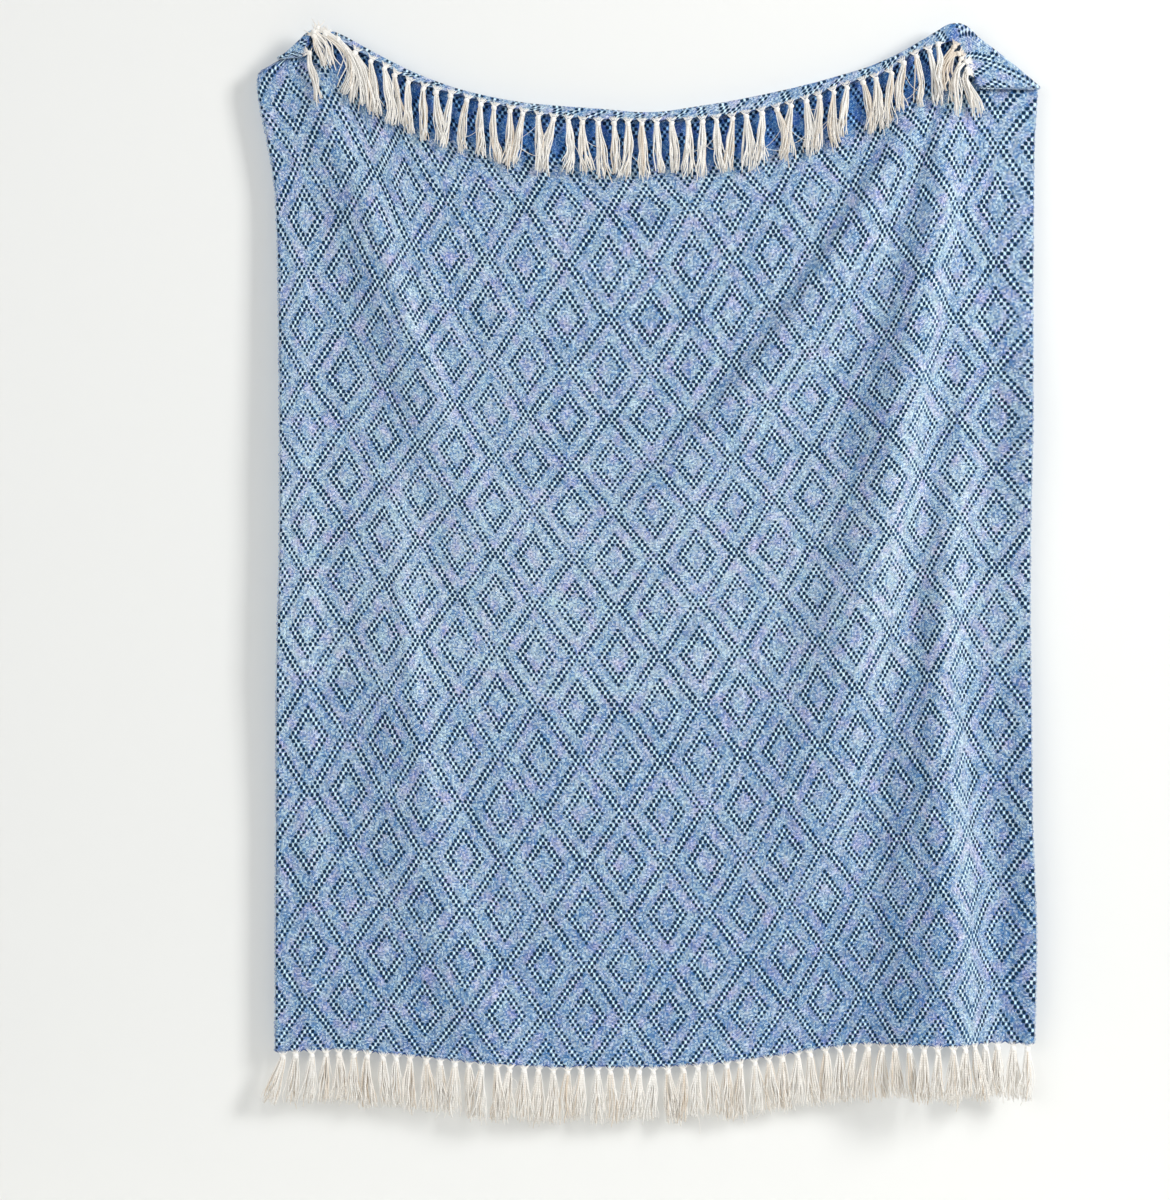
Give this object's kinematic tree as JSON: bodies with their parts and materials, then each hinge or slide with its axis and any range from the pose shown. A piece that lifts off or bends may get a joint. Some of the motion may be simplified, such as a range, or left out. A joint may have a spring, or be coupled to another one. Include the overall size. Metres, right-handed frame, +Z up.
{
  "type": "hanging diamond-weave throw blanket",
  "caption": "Woven cotton throw blanket with a diamond pattern, hung by its turned-down upper edge, with knotted tassel fringe at both ends.",
  "frame": {"origin": "crest of the turned-down upper edge at its lowest point, halfway along the cloth", "axes": "+X to the right along the upper edge, the patterned front faces -Y, +Z up"},
  "size_m": [1.264, 0.0694, 1.7828],
  "materials": {
    "woven_cotton": "matt, woven blue and white",
    "cream_cotton_yarn": "matt, loose twisted yarn"
  },
  "bodies": {
    "root": {"throw": "woven_cotton", "fringe_top": "cream_cotton_yarn", "fringe_bottom": "cream_cotton_yarn"}
  },
  "joints": []
}
